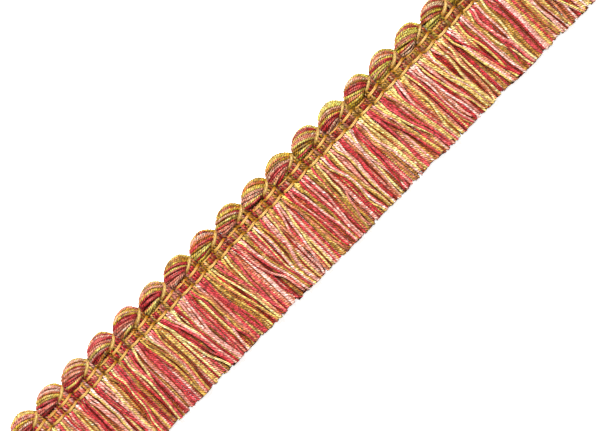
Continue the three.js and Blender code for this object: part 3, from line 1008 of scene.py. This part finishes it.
def make_bundle(loop, skirt, surface):
    bundle = bundle_paths(loop, skirt)
    paths = bundle[:, :, :3]
    held = bundle[:, :, 3]
    radii = yarn_radii(held)
    vertices, along = twisted_tubes(paths, radii, PLY_LENGTH, YARN_PLIES)
    vertices[..., 2] = np.maximum(vertices[..., 2], 0)  # soft yarn flattens on what it rests on
    place = loop / (LOOP_COUNT - 1)
    names = choose_colours(place)
    # The yarns' colours with painted light and painted shade multiplied into them
    tints = yarn_tints(names, held) * painted_light_and_shade(paths, held, place)[:, :, None]
    tints *= shaded(vertices, paths, radii, surface)
    number = f"{loop + 1:02d}"
    piece = tube_mesh(f"yarns_{number}", vertices, along, tints, yarn_look)
    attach(piece, "root")
    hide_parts(f"weft_{number}")


# Warp
def thread_piece(name, node, lines):
    """A row of threads along the trim. A line is a list of places, with how much painted shine its thread
    has there.
    """
    smooth = [blur(resample(np.array(line, float), LINE_POINTS), LINE_BLUR) for line in lines]
    paths = np.array([resample(line, THREAD_RINGS) for line in smooth])
    spread = 1 + THREAD_SPREAD * rng.normal(0, 1, (len(lines), 1))
    radii = THREAD_RADIUS * spread * np.ones((1, THREAD_RINGS))
    vertices, along = twisted_tubes(paths[:, :, :3], radii, THREAD_PLY_LENGTH, THREAD_PLIES)
    # Painted shade and painted highlight along each thread, by its shine
    shade = 1 - paths[:, :, 3:] * rng.uniform(*SHINE_RANGE, (len(lines), THREAD_RINGS, 2 * THREAD_PLIES))
    tints = linear(WARP_GOLD) + shade[..., None] * (linear(WARP_SHADE) - linear(WARP_GOLD))
    piece = tube_mesh(name, vertices, along, tints, thread_look)
    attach(piece, "root")
    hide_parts(node)


def binding_line(row_y, shift, falling_crest, falling_shine):
    """One thread of a row that passes over every pick and dips into the notch between two. Its painted shine
    is most on the middle of a pick."""
    line = [(-END_X - WARP_TAIL, row_y + shift, NOTCH_Z, END_SHINE)]
    for pick in range(PICK_COUNT):
        x = pick_x(pick)
        crest = ROW_CREST if pick % 2 else falling_crest
        shine = RISING_SHINE if pick % 2 else falling_shine
        for u in ACROSS_PICK:
            arch = crest - abs(u) ** 6 + rng.normal(0, ROW_SCATTER)
            y = row_y + row_rise(pick, u) + shift + rng.normal(0, ROW_SCATTER)
            gleam = smoothstep((1 - abs(u + ROW_GLEAM["left"])) / ROW_GLEAM["fade"])
            line.append((x + u * PICK_REACH, y, arch, shine * gleam))
        notch_y = row_y + (row_rise(pick, 1) + row_rise(pick + 1, -1)) / 2
        notch_z = NOTCH_Z + rng.normal(0, NOTCH_SCATTER)
        line.append((x + PICK_SPACING / 2, notch_y + shift / 2, notch_z, 0))
    line[-1] = (END_X + WARP_TAIL, row_y + shift, NOTCH_Z, END_SHINE)
    return line


def binding_row(row_y, falling_crest, falling_shine):
    return [binding_line(row_y, shift, falling_crest, falling_shine) for shift in ROW_SHIFTS]


def edge_gleam(u):
    """How much of its painted shine the edge row shows at a place on a pick."""
    rise = smoothstep((u + EDGE_GLEAM["left"]) / EDGE_GLEAM["rise"])
    fade = smoothstep((u - EDGE_GLEAM["right"]) / EDGE_GLEAM["fade"])
    return rise * (1 - EDGE_GLEAM["loss"] * fade)


def edge_line(shift, wander):
    """One thread of the edge row: over each rising pick, sloping up to the notch between two loops, then
    down and along under the falling pick's loop. wander is how far it strays up each pick."""
    brightness = EDGE_SHINE if shift else EDGE_MIDDLE_SHINE
    line = [(-END_X - WARP_TAIL, EDGE_END["y"] + shift, EDGE_END["z"], END_SHINE)]
    for loop in range(LOOP_COUNT):
        x = loop_x(loop)
        line += [(x + place["x"], place["y"] + shift, place["z"], 0) for place in EDGE_UNDER]
        for u in ACROSS_PICK:
            across = PICK_SPACING / 2 + u * EDGE_REACH
            apart = shift * (EDGE_FAN["middle"] - EDGE_FAN["less"] * u * u)
            y = edge_row_y(across) + apart + (wander[loop] - EDGE_SAG) * (1 - u * u)
            line.append((x + across, y, EDGE_CREST - EDGE_FALL * abs(u) ** 4, brightness * edge_gleam(u)))
        line.append((x + EDGE_NOTCH["x"], EDGE_NOTCH["y"] + shift, EDGE_NOTCH["z"], EDGE_NOTCH["shine"]))
    line.append((END_X + WARP_TAIL, EDGE_END["y"] + shift, EDGE_END["z"], END_SHINE))
    return line


def edge_row():
    wander = rng.normal(0, EDGE_WANDER, LOOP_COUNT)
    return [edge_line(shift, wander) for shift in EDGE_SHIFTS]


# Stage, in metres
def make_floor():
    mesh = bpy.data.meshes.new("floor")
    s = FLOOR_REACH
    mesh.from_pydata([(-s, -s, 0), (s, -s, 0), (s, s, 0), (-s, s, 0)], [], [(0, 1, 2, 3)])
    floor = bpy.data.objects.new("floor", mesh)
    floor.location.z = -FLOOR_GAP
    bpy.context.scene.collection.objects.link(floor)
    material = bpy.data.materials.new("floor_look")
    material.use_nodes = True
    shader = material.node_tree.nodes["Principled BSDF"]
    shader.inputs["Base Color"].default_value = FLOOR_COLOUR
    shader.inputs["Roughness"].default_value = FLOOR_ROUGHNESS
    shader.inputs["Specular IOR Level"].default_value = FLOOR_SHINE
    shader.inputs["Emission Color"].default_value = (1, 1, 1, 1)
    shader.inputs["Emission Strength"].default_value = FLOOR_GLOW
    mesh.materials.append(material)


def make_light(name, place, size, power):
    """A round lamp that shines on the middle of the trim."""
    light = bpy.data.lights.new(name, "AREA")
    light.shape = "DISK"
    light.size = size
    light.energy = power
    lamp = bpy.data.objects.new(name, light)
    lamp.location = place
    lamp.rotation_euler = (-Vector(place)).to_track_quat("-Z", "Y").to_euler()
    bpy.context.scene.collection.objects.link(lamp)


def make_camera():
    """Straight above, turned so that the trim runs up to the right as in the picture."""
    camera = bpy.data.cameras.new("camera")
    camera.sensor_width = SENSOR_WIDTH
    camera.lens = SENSOR_WIDTH * CAMERA_HEIGHT / VIEW_WIDTH
    camera.clip_start = 0.01
    camera.clip_end = 20
    eye = bpy.data.objects.new("camera", camera)
    eye.location = (*VIEW_MIDDLE, CAMERA_HEIGHT)
    eye.rotation_euler = (0, 0, math.radians(VIEW_TURN))
    bpy.context.scene.collection.objects.link(eye)
    bpy.context.scene.camera = eye


def make_world():
    world = bpy.data.worlds.new("studio")
    world.use_nodes = True
    background = world.node_tree.nodes["Background"]
    background.inputs["Color"].default_value = SKY_COLOUR
    background.inputs["Strength"].default_value = SKY_STRENGTH
    bpy.context.scene.world = world
    bpy.context.scene.view_settings.view_transform = "Standard"


skirt, surface = lay_skirt()
for loop in range(LOOP_COUNT):
    make_bundle(loop, skirt, surface)
thread_piece("edge_row", "warp_edge", edge_row())
thread_piece("middle_row", "warp_middle", binding_row(MIDDLE_ROW_Y, MIDDLE_ROW_CREST, MIDDLE_FALLING_SHINE))
thread_piece("lower_row", "warp_lower", binding_row(LOWER_ROW_Y, ROW_CREST, LOWER_FALLING_SHINE))
make_floor()
for lamp in LAMPS:
    make_light(lamp["name"], lamp["place"], lamp["size"], lamp["power"])
make_camera()
make_world()
